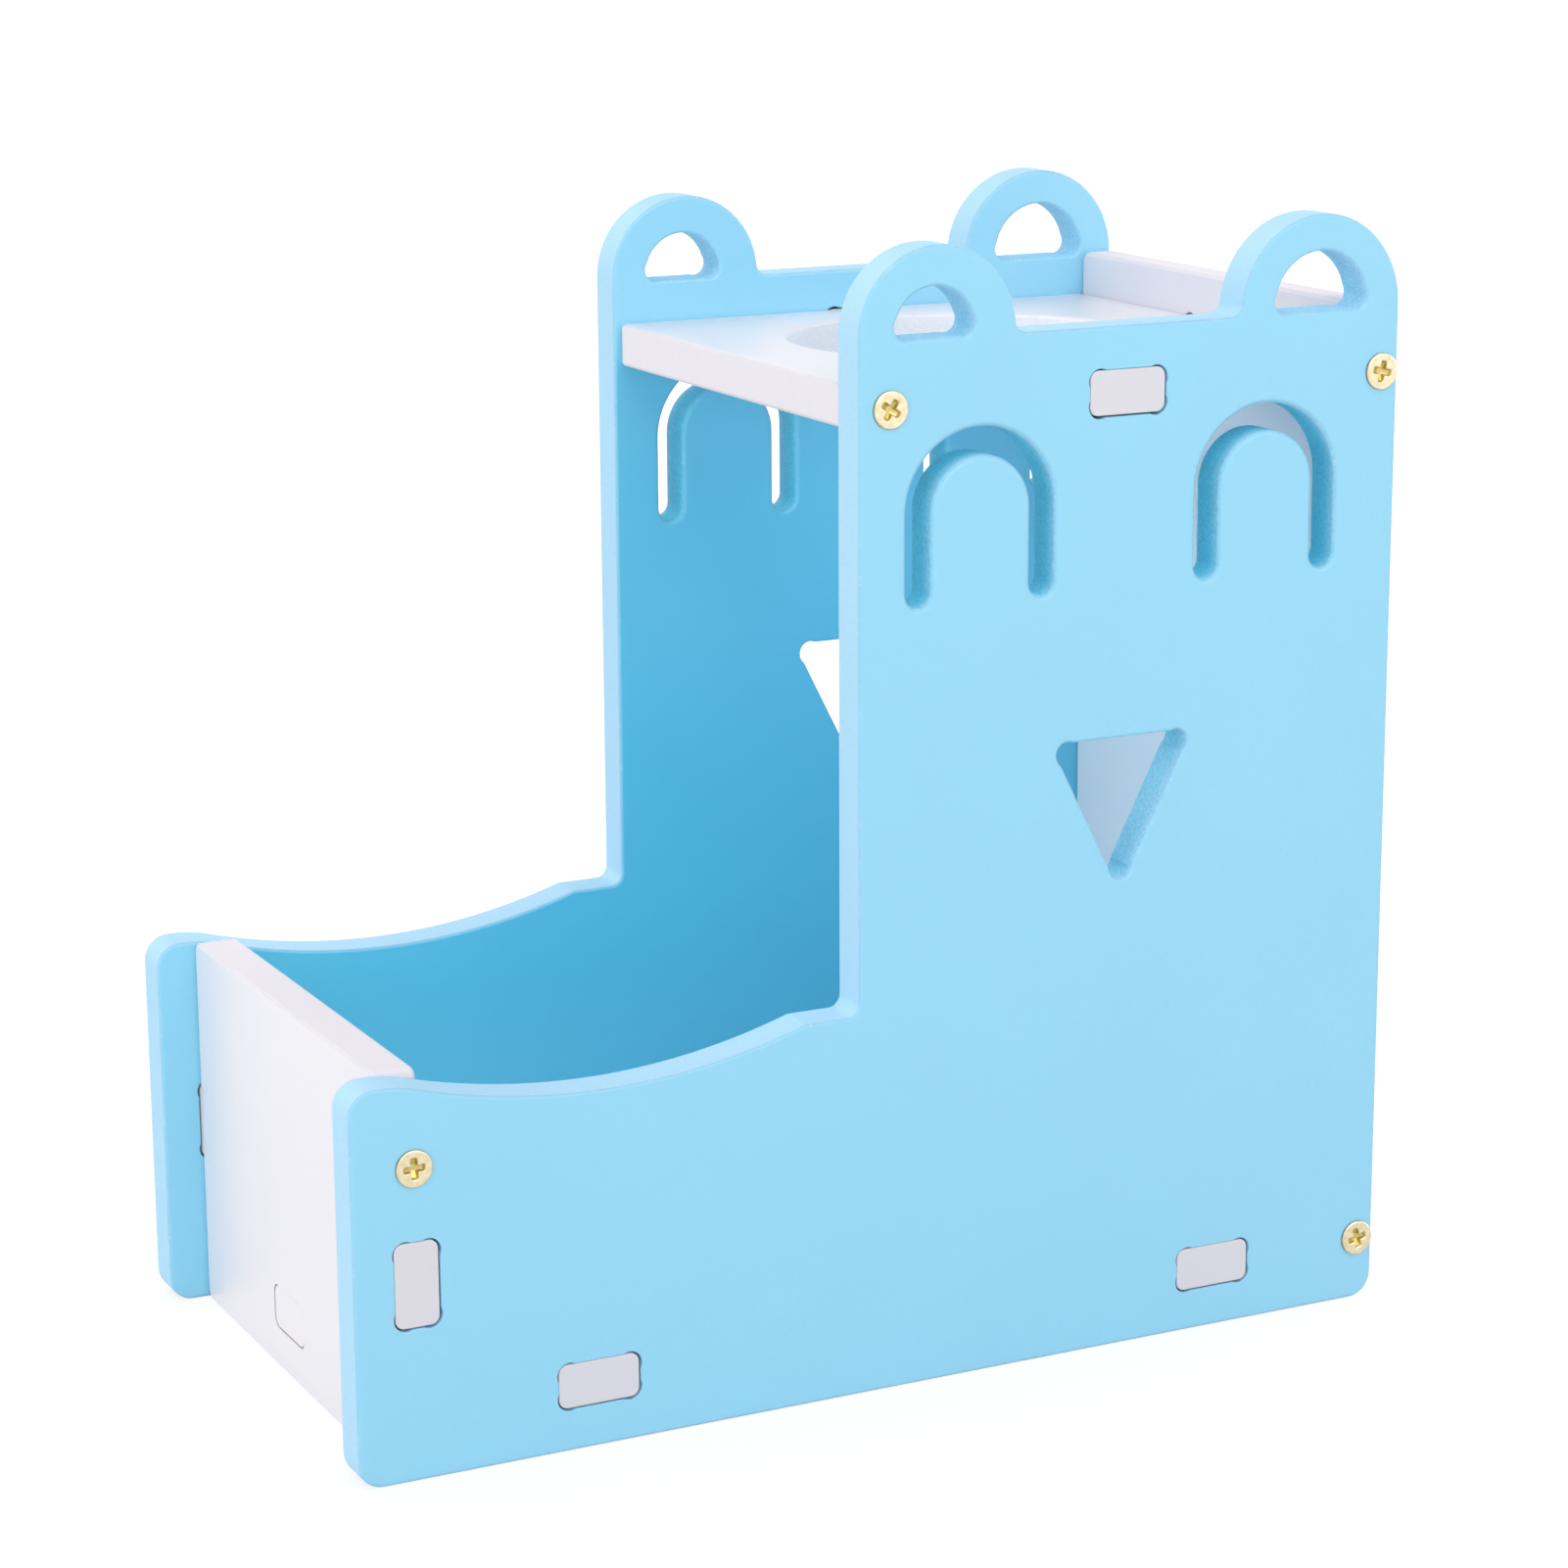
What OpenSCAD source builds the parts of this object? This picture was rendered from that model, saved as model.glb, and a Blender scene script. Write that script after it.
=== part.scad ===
// Pet feeder stand for a cage: an L-shaped stand of routed foam boards.
// Two coloured side boards carry a white floor, front, back and bottle shelf.
// The boards slot together with tenons and are held by countersunk screws.
// Front of the trough faces -Y, +Z is up, origin under the middle of the stand.

/* [Boards] */
// Thickness of the two coloured side boards
side_t = 6; // [4:0.5:9]
// Thickness of the white floor, shelf and front boards
board_t = 6; // [4:0.5:9]
// Thickness of the white back board
back_t = 5; // [4:0.5:9]
// Radius of the router bit, left in every inside corner
bit_r = 1.75; // [1:0.25:2.5]
// How far the bit runs past the sills and tops of the ear holes in their corners
bit_over = 0.1; // [0.05:0.05:0.4]
// How far the bit runs past the sides of a tenon slot in its corners
slot_over = 0.2; // [0.1:0.05:0.4]
// Radius of the white boards' own corners
white_corner_r = 1.5; // [0.5:0.25:3]

/* [Stand] */
// Length of a side board from its front edge to its rear edge
base_l = 155; // [140:1:220]
// Clear width between the two side boards
inner_w = 70; // [62:1:120]
// Length of the tower, measured forward from the rear edge
tower_l = 83; // [78:1:110]
// Height of the rail along the top of the tower, between the ears
rail_z = 142.5; // [130:0.5:200]
// Height of the trough's side walls and front board
wall_z = 53.3; // [46:0.1:62]
// Radius of the side boards' outer corners
corner_r = 3.5; // [1:0.5:6]

/* [Scoop] */
// Depth of the scoop in the top of a trough wall
scoop_d = 4.5; // [2:0.1:8]
// Level stretch ahead of the scoop
scoop_front = 7; // [5:0.1:14]
// Level stretch between the scoop and the tower
scoop_rear = 7.8; // [4:0.1:14]
// Radius that eases the scoop into the front crest
scoop_ease = 17; // [5:1:20]

/* [Ears] */
// Outer radius of the two front ears
ear_front_r = 11.6; // [9.5:0.05:15]
// Outer radius of the two rear ears
ear_rear_r = 12.65; // [10.5:0.05:15]
// Height of the ears' centres above the rail
ear_rise = 0.4; // [0:0.1:1.5]
// Radius of the half-round hole in a front ear
hole_front_r = 5.9; // [4.5:0.05:8]
// Radius of the half-round hole in a rear ear
hole_rear_r = 7.3; // [4.5:0.05:9]
// Height of the centre of a hole's round top above the rail
hole_rise = 0.8; // [0:0.1:1.5]
// How far the front ears' holes sit ahead of their ears' centres
hole_front_shift = 0.45; // [0:0.05:1]

/* [Face cut-outs] */
// Centre line of the cut-outs, behind the tower's front edge
face_in = 40.1; // [38:0.1:44]
// Outer radius of an arched slot
arch_r = 11.1; // [8:0.1:14]
// Width of an arched slot
arch_w = 3.7; // [2.5:0.1:5]
// Straight length of an arch's legs
arch_leg = 10.3; // [6:0.1:16]
// Distance between the centres of the two arches
arch_gap = 44; // [38:0.5:48]
// Depth of the arches' centres below the rail
arch_drop = 23; // [20:0.5:32]
// Width of the triangular window between its sharp corners
window_w = 22; // [14:0.5:28]
// Height of the triangular window down to its sharp tip
window_h = 21.6; // [14:0.1:28]
// Depth of the window's top edge below the rail
window_drop = 55.6; // [50:0.1:62]
// How far the bit runs past the window's corners
window_over = 0.35; // [0.1:0.05:0.6]

/* [Tenons] */
// Length of a tenon along its board's edge
tenon_l = 11.4; // [8:0.1:14]
// Play between a tenon and its slot, on each side
slip = 0.15; // [0.1:0.05:0.4]
// Radius of the tenons' long edges
tenon_r = 1.2; // [0.75:0.05:1.5]
// Radius of the corners of the floor's front tenon and its slot
nose_r = 1.5; // [0.5:0.25:1.75]
// Distance between the two floor tenons on one side
floor_tenon_gap = 94.3; // [60:0.1:100]

/* [White boards] */
// Height of the floor's underside above the ground
floor_z = 6; // [4:0.5:12]
// Height of the rail above the shelf's top face
shelf_drop = 5.8; // [3:0.1:9]
// Setback of the shelf behind the tower's front edge
shelf_in = 0.8; // [0.2:0.1:3]
// Height of the back board's top above the rail
back_rise = 0.5; // [0:0.1:2]
// Setback of the front board behind the side boards' front edges
front_in = 5.6; // [4:0.1:10]
// Diameter of the hole that holds the bottle
bottle_d = 50; // [30:0.5:54]
// Centre of the bottle hole, behind the shelf's front edge
bottle_in = 37.4; // [33:0.1:42]

/* [Screws] */
// Diameter over the screw's thread
screw_d = 3; // [2:0.1:3.4]
// Length of a screw under its rim
screw_l = 16; // [12:1:20]
// Diameter of the screw's countersunk head
head_d = 5; // [4.4:0.1:5.2]
// Height of the head's rim above the side board
head_rim = 0.35; // [0.2:0.05:0.6]
// Distance between two turns of the thread
thread_pitch = 1.2; // [0.8:0.1:1.6]
// Depth of the thread
thread_depth = 0.4; // [0.2:0.05:0.5]
// Width of an arm of the cross recess
recess_w = 0.85; // [0.5:0.05:1]
// Width of the cross recess from tip to tip
recess_span = 3; // [2:0.1:3.6]
// Depth of the cross recess
recess_depth = 1.4; // [0.8:0.1:1.6]
// Play round a screw in its hole
screw_play = 0.05; // [0.02:0.01:0.1]
// Depth of the front screws below the top of the front board
front_screw_drop = 11.1; // [6:0.1:14]
// Distance of the shelf screws behind the tower's front edge
shelf_screw_in = 4.6; // [4:0.1:8]
// How far the back screws sit ahead of the middle of the back board
back_screw_shift = 0.2; // [0:0.05:0.4]

/* [Hidden] */
$fn = 64;
// Cutters run this far past the faces that they open
over = 1;
side_blue = "#9fdcf8";
board_white = "#e8e6ee";
screw_gold = "#e6cf8f";

// Distances along a side board are counted from its front edge
tower_u = base_l - tower_l;
face_u = tower_u + face_in;
back_u = base_l - back_t;
back_screw_u = base_l - back_t / 2 - back_screw_shift;
front_mid_u = front_in + board_t / 2;
shelf_u = tower_u + shelf_in;
floor_u = front_in + board_t;
floor_mid_u = (floor_u + back_u) / 2;
bottle_u = shelf_u + bottle_in;
ear_front_u = tower_u + ear_front_r;
ear_rear_u = base_l - ear_rear_r;

// Heights
back_h = rail_z + back_rise;
shelf_top_z = rail_z - shelf_drop;
shelf_z = shelf_top_z - board_t;
shelf_mid_z = shelf_z + board_t / 2;
floor_mid_z = floor_z + board_t / 2;
front_mid_z = wall_z / 2;
arch_z = rail_z - arch_drop;
window_z = rail_z - window_drop;

// The scoop is a circle through both ends of its chord
scoop_chord = tower_u - scoop_front - scoop_rear;
scoop_r = (pow(scoop_chord / 2, 2) + pow(scoop_d, 2)) / (2 * scoop_d);
scoop_u = scoop_front + scoop_chord / 2;
scoop_z = wall_z - scoop_d + scoop_r;

// Each screw: name, distance along the side board, height, turn of its recess
SCREWS = [
    ["shelf", tower_u + shelf_screw_in, shelf_mid_z, 57],
    ["back_upper", back_screw_u, shelf_mid_z, 77],
    ["back_lower", back_screw_u, floor_mid_z, 14],
    ["front", front_mid_u, wall_z - front_screw_drop, 3]
];

// Waste to take off an outer corner at the origin, leaving a round of radius r
module corner_waste(r) {
    difference() {
        translate([-over, -over]) square(r + over);
        translate([r, r]) circle(r);
    }
}

// Rectangle with four round corners, centred on the origin
module rounded_plate(w, h, r) {
    corners = [[-w, -h] / 2, [w, -h] / 2, [w, h] / 2, [-w, h] / 2];
    difference() {
        square([w, h], center = true);
        for (i = [0:3])
            translate(corners[i]) rotate(90 * i) corner_waste(r);
    }
}

// Tenon slot cut with a round bit that runs into each corner
module slot_outline(l, h) {
    inset = bit_r - slot_over;
    square([l, h], center = true);
    for (sx = [-1, 1], sy = [-1, 1])
        translate([sx * (l / 2 - inset), sy * (h / 2 - inset)]) circle(bit_r);
}

// Ear of radius r on the rail: its outer side runs straight down into the tower's
// edge, and the bit leaves a round in the corner at its inner foot
module ear(r) {
    reach = sqrt(pow(r + bit_r, 2) - pow(bit_r - ear_rise, 2));
    foot_z = ear_rise + (bit_r - ear_rise) * r / (r + bit_r);
    difference() {
        union() {
            translate([0, ear_rise]) circle(r);
            translate([-r, -over]) square([r, over + ear_rise]);
            translate([0, -over]) square([reach, over + foot_z]);
        }
        translate([reach, bit_r]) circle(bit_r);
    }
}

// Half-round hole of radius r in an ear: a sill level with the rail, round corners
// and a round top
module ear_hole(r) {
    corner_z = bit_r - bit_over;
    corner_u = sqrt(pow(r - corner_z, 2) - pow(corner_z - hole_rise, 2));
    intersection() {
        translate([0, hole_rise]) circle(r);
        translate([-r - over, corner_z]) square(2 * (r + over));
    }
    translate([-corner_u, 0]) square([2 * corner_u, bit_r]);
    for (side = [-1, 1])
        translate([side * corner_u, corner_z]) circle(bit_r);
}

// Arched slot: half a ring on two straight legs with round ends
module arch_slot() {
    mid_r = arch_r - arch_w / 2;
    intersection() {
        difference() {
            circle(arch_r);
            circle(arch_r - arch_w);
        }
        translate([-arch_r - over, 0]) square([2 * (arch_r + over), arch_r + over]);
    }
    for (side = [-1, 1]) {
        translate([side * mid_r - arch_w / 2, -arch_leg]) square([arch_w, arch_leg]);
        translate([side * mid_r, -arch_leg]) circle(arch_w / 2);
    }
}

// Triangular window, tip down, with the bit's round in each corner.
// The origin is the middle of its top edge.
module window_outline() {
    top_half = atan(window_h / (window_w / 2)) / 2;
    tip_half = 90 - 2 * top_half;
    top_run = bit_r / tan(top_half);
    tip_run = bit_r / tan(tip_half);
    side_u = cos(2 * top_half);
    side_z = sin(2 * top_half);
    half = [
        [window_w / 2 - top_run, 0],
        [window_w / 2 - top_run * side_u, -top_run * side_z],
        [tip_run * side_u, -window_h + tip_run * side_z]
    ];
    polygon([
        half[0], half[1], half[2],
        [-half[2][0], half[2][1]], [-half[1][0], half[1][1]], [-half[0][0], half[0][1]]
    ]);
    corner_reach = bit_r / sin(top_half) - window_over;
    for (side = [-1, 1])
        translate([
            side * (window_w / 2 - corner_reach * cos(top_half)),
            -corner_reach * sin(top_half)
        ])
            circle(bit_r);
    translate([0, -window_h + bit_r / sin(tip_half) - window_over]) circle(bit_r);
}

// Waste above the eased crest where the scoop begins
module crest_waste() {
    run = sqrt(scoop_d * (2 * (scoop_r + scoop_ease) - scoop_d));
    share = scoop_ease / (scoop_r + scoop_ease);
    ease_u = scoop_u - run;
    touch_z = wall_z - scoop_ease + share * (scoop_r - scoop_d + scoop_ease);
    difference() {
        translate([ease_u, touch_z])
            square([run * share, wall_z - touch_z + over]);
        translate([ease_u, wall_z - scoop_ease]) circle(scoop_ease);
    }
}

// Outline of a side board, seen from the right, front edge on the left
module side_outline() {
    difference() {
        union() {
            square([base_l, wall_z]);
            translate([tower_u, 0]) square([tower_l, rail_z]);
            translate([ear_front_u, rail_z]) ear(ear_front_r);
            translate([ear_rear_u, rail_z]) mirror([1, 0]) ear(ear_rear_r);
            // round left by the bit in the corner under the tower
            difference() {
                translate([tower_u - bit_r, wall_z - over]) square([bit_r + over, bit_r + over]);
                translate([tower_u - bit_r, wall_z + bit_r]) circle(bit_r);
            }
        }
        corner_waste(corner_r);
        translate([0, wall_z]) rotate(270) corner_waste(corner_r);
        translate([base_l, 0]) rotate(90) corner_waste(corner_r);
        crest_waste();
        intersection() {
            translate([scoop_u, scoop_z]) circle(scoop_r);
            translate([scoop_front, wall_z - scoop_d - over])
                square([scoop_chord, scoop_d + 2 * over]);
        }
    }
}

// Everything that is cut right through a side board
module side_cuts() {
    for (side = [-1, 1])
        translate([face_u + side * arch_gap / 2, arch_z]) arch_slot();
    translate([face_u, window_z]) window_outline();
    translate([ear_front_u - hole_front_shift, rail_z]) ear_hole(hole_front_r);
    translate([ear_rear_u, rail_z]) ear_hole(hole_rear_r);
    for (side = [-1, 1])
        translate([floor_mid_u + side * floor_tenon_gap / 2, floor_mid_z])
            slot_outline(tenon_l + 2 * slip, board_t + 2 * slip);
    translate([face_u, shelf_mid_z]) slot_outline(tenon_l + 2 * slip, board_t + 2 * slip);
    translate([front_mid_u, front_mid_z]) slot_outline(board_t + 2 * slip, tenon_l + 2 * slip);
}

// Stands a side view up: the outline's first axis runs back along Y
module upright(t) {
    translate([0, -base_l / 2, 0])
        rotate([90, 0, 90]) linear_extrude(t) children();
}

// Places its child, drawn along +Z, on a screw's axis with +Z pointing to the right
module on_screw_axis(screw) {
    translate([inner_w / 2 + side_t, screw[1] - base_l / 2, screw[2]])
        rotate([90, 0, 90]) children();
}

// Countersunk hole for a screw, open at z = 0 and running down
module screw_hole() {
    hole_r = screw_d / 2 + screw_play;
    sink_r = head_d / 2 + screw_play;
    translate([0, 0, -screw_l - over]) cylinder(h = screw_l + 2 * over, r = hole_r);
    translate([0, 0, hole_r - sink_r]) cylinder(h = sink_r - hole_r, r1 = hole_r, r2 = sink_r);
    cylinder(h = over, r = sink_r);
}

// The holes of one side's screws that reach into a cross board
module edge_holes(names) {
    for (side = [0, 1], screw = SCREWS)
        if (len([for (n = names) if (n == screw[0]) n]) > 0)
            mirror([side, 0, 0]) on_screw_axis(screw) screw_hole();
}

module right_side_board() {
    color(side_blue)
        difference() {
            translate([inner_w / 2, 0, 0])
                upright(side_t)
                    difference() {
                        side_outline();
                        side_cuts();
                    }
            for (screw = SCREWS) on_screw_axis(screw) screw_hole();
        }
}

module left_side_board() {
    mirror([1, 0, 0]) right_side_board();
}

// Level board from u back to the back board, its underside at z
module level_plate(u, z) {
    l = back_u - u;
    translate([0, u + l / 2 - base_l / 2, z])
        linear_extrude(board_t) rounded_plate(inner_w, l, white_corner_r);
}

// Bar with round long edges that runs across the stand: its ends are the side tenons
module tenon_bar(u, z, l, h) {
    translate([-inner_w / 2 - side_t, u - base_l / 2, z])
        rotate([90, 0, 90])
            linear_extrude(inner_w + 2 * side_t) rounded_plate(l, h, tenon_r);
}

// Tenon with round long edges that ends l ahead of u and runs through an upright board
module long_tenon(u, z, l, r) {
    translate([0, u - base_l / 2, z])
        rotate([90, 0, 0]) linear_extrude(l) rounded_plate(tenon_l, board_t, r);
}

module floor_board() {
    color(board_white) {
        level_plate(floor_u, floor_z);
        for (side = [-1, 1])
            tenon_bar(floor_mid_u + side * floor_tenon_gap / 2, floor_mid_z, tenon_l, board_t);
        long_tenon(base_l, floor_mid_z, back_t + over, tenon_r);
        // the nose that shows in the front board
        long_tenon(floor_u + over, floor_mid_z, board_t + over, nose_r);
    }
}

module bottle_shelf() {
    color(board_white)
        difference() {
            union() {
                level_plate(shelf_u, shelf_z);
                tenon_bar(face_u, shelf_mid_z, tenon_l, board_t);
                long_tenon(base_l, shelf_mid_z, back_t + over, tenon_r);
            }
            translate([0, bottle_u - base_l / 2, shelf_z - over])
                cylinder(h = board_t + 2 * over, d = bottle_d);
            edge_holes(["shelf"]);
        }
}

// Upright board seen from the front, its first axis along X, drawn towards the rear
module facing(u, t) {
    translate([0, u + t - base_l / 2, 0])
        rotate([90, 0, 0]) linear_extrude(t) children();
}

module front_board() {
    color(board_white)
        difference() {
            union() {
                facing(front_in, board_t)
                    difference() {
                        translate([0, wall_z / 2]) rounded_plate(inner_w, wall_z, white_corner_r);
                        translate([0, floor_mid_z])
                            rounded_plate(tenon_l + 2 * slip, board_t + 2 * slip, nose_r);
                    }
                tenon_bar(front_mid_u, front_mid_z, board_t, tenon_l);
            }
            edge_holes(["front"]);
        }
}

module back_board() {
    color(board_white)
        difference() {
            facing(back_u, back_t)
                difference() {
                    translate([0, back_h / 2]) rounded_plate(inner_w, back_h, white_corner_r);
                    for (z = [floor_mid_z, shelf_mid_z])
                        translate([0, z]) slot_outline(tenon_l + 2 * slip, board_t + 2 * slip);
                }
            edge_holes(["back_upper", "back_lower"]);
        }
}

// Half section of a screw: rim, countersunk head, ridged thread and point.
// Its axis is the second axis and the side board's face is at zero.
module screw_section() {
    head_r = head_d / 2;
    thread_r = screw_d / 2;
    root_r = thread_r - thread_depth;
    neck = head_r - thread_r;
    point = screw_d;
    turns = floor((screw_l - neck - thread_depth - point) / thread_pitch);
    ridges = [
        for (i = [0:turns - 1], step = [0, 1])
            [step == 0 ? root_r : thread_r, -neck - thread_depth - (i + step / 2) * thread_pitch]
    ];
    polygon(concat(
        [[0, head_rim], [head_r, head_rim], [head_r, 0], [thread_r, -neck]],
        ridges,
        [[root_r, -screw_l + point], [0, -screw_l]]
    ));
}

// Screw along its axis: its head looks to +Z
module screw(turn) {
    color(screw_gold)
        difference() {
            rotate_extrude() screw_section();
            rotate([0, 0, turn])
                intersection() {
                    translate([0, 0, head_rim - recess_depth])
                        linear_extrude(recess_depth + over) {
                            square([recess_span, recess_w], center = true);
                            square([recess_w, recess_span], center = true);
                        }
                    translate([0, 0, head_rim - recess_depth])
                        cylinder(h = recess_depth, r1 = recess_w / 2, r2 = recess_span / 2);
                }
        }
}

right_side_board();
left_side_board();
floor_board();
front_board();
back_board();
bottle_shelf();
for (s = SCREWS) {
    on_screw_axis(s) screw(s[3]);
    mirror([1, 0, 0]) on_screw_axis(s) screw(s[3]);
}
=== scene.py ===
# %% [markdown]
# # Dressing a foam-board feeder stand
#
# The real thing is a small stand for a pet cage: a food trough with a tower behind it, and in the
# tower a shelf whose round hole holds an upturned water bottle. It is routed from foam board about
# six millimetres thick, slotted together and screwed. CAD has already made its measured solids.
# This lesson gives every board the soft edges, the grain and the colour of the real sheet, gives
# the screws their plating, and lights the stand as for a shop picture.
#
# ## Step 1: the fixed frame
#
# Blender could build the stand from nothing, but its sizes might then drift from the CAD model. So
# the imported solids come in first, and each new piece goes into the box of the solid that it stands
# for.

# %% Load the fixed frame
import math
from collections import namedtuple

import bpy
import numpy as np
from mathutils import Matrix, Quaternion, Vector
from mathutils.geometry import tessellate_polygon


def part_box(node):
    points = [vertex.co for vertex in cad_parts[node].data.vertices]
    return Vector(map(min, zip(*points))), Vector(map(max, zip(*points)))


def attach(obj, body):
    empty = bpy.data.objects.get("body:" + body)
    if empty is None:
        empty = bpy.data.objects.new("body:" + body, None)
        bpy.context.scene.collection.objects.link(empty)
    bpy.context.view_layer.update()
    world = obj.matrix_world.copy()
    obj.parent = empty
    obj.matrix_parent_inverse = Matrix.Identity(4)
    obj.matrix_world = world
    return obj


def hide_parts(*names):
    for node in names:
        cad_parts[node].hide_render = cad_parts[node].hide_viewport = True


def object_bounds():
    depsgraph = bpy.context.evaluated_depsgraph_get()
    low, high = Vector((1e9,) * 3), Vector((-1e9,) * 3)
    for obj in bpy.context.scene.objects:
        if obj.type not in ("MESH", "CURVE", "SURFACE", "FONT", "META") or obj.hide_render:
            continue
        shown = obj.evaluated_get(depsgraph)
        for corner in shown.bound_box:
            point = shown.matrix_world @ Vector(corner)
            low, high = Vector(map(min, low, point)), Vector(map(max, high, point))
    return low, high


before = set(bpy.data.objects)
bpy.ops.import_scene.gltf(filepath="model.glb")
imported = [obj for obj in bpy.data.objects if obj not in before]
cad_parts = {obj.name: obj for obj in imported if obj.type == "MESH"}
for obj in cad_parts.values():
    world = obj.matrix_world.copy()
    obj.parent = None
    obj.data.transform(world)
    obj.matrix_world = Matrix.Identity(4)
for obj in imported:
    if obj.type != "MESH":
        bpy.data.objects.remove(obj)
cad_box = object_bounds()
MM = 0.001  # the frame is in metres, and the outlines below are in millimetres
cad_size = [round(v / MM, 2) for v in cad_box[1] - cad_box[0]]
print("frame:", len(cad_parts), "nodes, box in mm:", cad_size)

# %% [markdown]
# ## Step 2: the camera
#
# The stand is seen from its front right corner, a little from above, through a long lens. The place
# and the direction were worked out from the straight edges of the boards. The camera leans by a
# third of a degree, so its aim is turned about its own line of sight as the last step. A camera
# could also be aimed with a Track To constraint, but numbers stay put when the object changes.

# %% Camera
IMAGE_SIDE = 1601  # pixels along a side of the picture
FOCAL_LENGTH = 4139.5  # in the same pixels
SENSOR_WIDE = 36.0  # mm
CAMERA_AT = (0.49657, -0.24351, 0.20930)  # metres
SIGHT = (-0.86989, 0.43361, -0.23508)  # the direction in which the camera looks
LEAN = 0.32  # degrees, clockwise as the photographer sees it

lens = bpy.data.cameras.new("long_lens")
lens.sensor_width = SENSOR_WIDE
lens.lens = FOCAL_LENGTH / IMAGE_SIDE * SENSOR_WIDE
lens.clip_start, lens.clip_end = 0.02, 50
camera = bpy.data.objects.new("long_lens", lens)
bpy.context.scene.collection.objects.link(camera)
sight = Vector(SIGHT).normalized()
camera.location = CAMERA_AT
camera.rotation_mode = "QUATERNION"
camera.rotation_quaternion = Quaternion(sight, math.radians(LEAN)) @ sight.to_track_quat("-Z", "Y")
bpy.context.scene.camera = camera
print("camera: lens", round(lens.lens, 2), "mm, from", [round(v, 3) for v in camera.location])

# %% [markdown]
# ## Step 3: how a routed board is described
#
# A router follows a path made of straight runs and arcs, so the outlines are written in the same
# way: a corner is two numbers, and an arc is five (centre, radius, first angle, last angle).
# The board lies to the left of the path. A polygon traced from the solids would also work, but
# with true arcs the same path can be drawn again a little further in, which the soft edges need.

# %% Paths of corners and arcs
Stretch = namedtuple("Stretch", "start end centre radius turn")
SAME_POINT = 1e-6  # mm, under which two points count as one


def ring_point(u, v, radius, angle):
    """The centre plus radius times (cos angle, sin angle), with the angle in degrees."""
    a = math.radians(angle)
    return np.array([u + radius * math.cos(a), v + radius * math.sin(a)])


def stretches(stations):
    """Splits a closed round of stations into stretches, each straight or part of a circle.

    A straight stretch joins two stations wherever one ends apart from the next one's start.
    turn is +1 for an anticlockwise arc, -1 for a clockwise one and 0 for a straight stretch.
    """
    ends = [
        (ring_point(*s[:4]), ring_point(*s[:3], s[4])) if len(s) == 5 else (np.array(s, float),) * 2
        for s in stations
    ]
    found = []
    for i, station in enumerate(stations):
        start, end = ends[i]
        if len(station) == 5:
            turn = 1 if station[4] > station[3] else -1
            found.append(Stretch(start, end, np.array(station[:2], float), station[2], turn))
        follow = ends[(i + 1) % len(ends)][0]
        if np.hypot(*(follow - end)) > SAME_POINT:
            found.append(Stretch(end, follow, None, 0.0, 0))
    return found


print("paths: a square has", len(stretches([(0, 0), (1, 0), (1, 1), (0, 1)])), "stretches")

# %% The same path, further in
SMOOTH = 1e-3  # two stretches whose directions cross by less than this run into each other
NEWTON_STEPS = 8


def left_of(stretch, point):
    """How far a point lies to the left of a stretch, and the direction in which that grows.

    For a line it is the distance along its left normal. For an arc it is turn times what is left
    of the radius after the distance to the centre is taken off.
    """
    if stretch.turn:
        ray = point - stretch.centre
        far = np.hypot(*ray)
        return stretch.turn * (stretch.radius - far), -stretch.turn * ray / far
    along = (stretch.end - stretch.start) / np.hypot(*(stretch.end - stretch.start))
    normal = np.array([-along[1], along[0]])
    return (point - stretch.start) @ normal, normal


def joint(before, after, inset):
    """The point that lies inset to the left of two stretches where they meet, by Newton's method.

    Where the stretches run smoothly into each other, it is the inset along their shared normal.
    """
    point = after.start
    near, far = left_of(before, point)[1], left_of(after, point)[1]
    if abs(near[0] * far[1] - near[1] * far[0]) < SMOOTH:
        return point + inset * far
    for _ in range(NEWTON_STEPS):
        (a, near), (b, far) = left_of(before, point), left_of(after, point)
        point = point + np.linalg.solve(np.array([near, far]), [inset - a, inset - b])
    return point


square = stretches([(0, 0), (1, 0), (1, 1), (0, 1)])
print("the square drawn 0.1 further in starts at", joint(square[3], square[0], 0.1))

# %% [markdown]
# ## Step 4: the edge of a board, carried round its path
#
# A routed edge is never a knife edge: the arris, where face and cut meet, is worn to a small round
# that catches the light. The Bevel modifier could round it, but where two cuts meet in a sharp
# cusp it folds over itself. So the edge is drawn as a profile (quarter round, straight wall,
# quarter round) and carried along the path: each row of it is the same path, drawn further in by
# exactly the inset of that row.

# %% Edge profiles
Profile = namedtuple("Profile", "rows lean routed")
ROUND_STEPS = 4  # flats in each quarter round


def soft_edge(thick, hole=False):
    """Profile of a board's edge from one face to the other, for a soft radius r.

    With t running from 0 on the first face, through 90 degrees on the wall, to 180 on the second
    face, the inset is r (1 - sin t). The depth is r (1 - cos t) up to the wall, and after it
    thick - r (1 + cos t). The normal leans from the face to the wall by the same t.
    routed tells the cuts from the faces: it is 0 on a face, 1 on the wall of an outline and -1 on
    the wall of a hole.
    """
    quarter = np.linspace(0, np.pi / 2, ROUND_STEPS + 1)
    t = np.concatenate([quarter, quarter + np.pi / 2])
    before_wall = np.arange(t.size) <= ROUND_STEPS

    def rows(r):
        depth = np.where(before_wall, r * (1 - np.cos(t)), thick - r * (1 + np.cos(t)))
        return r * (1 - np.sin(t)), depth

    return Profile(rows, t, (-1 if hole else 1) * np.sin(t) ** 2)


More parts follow.
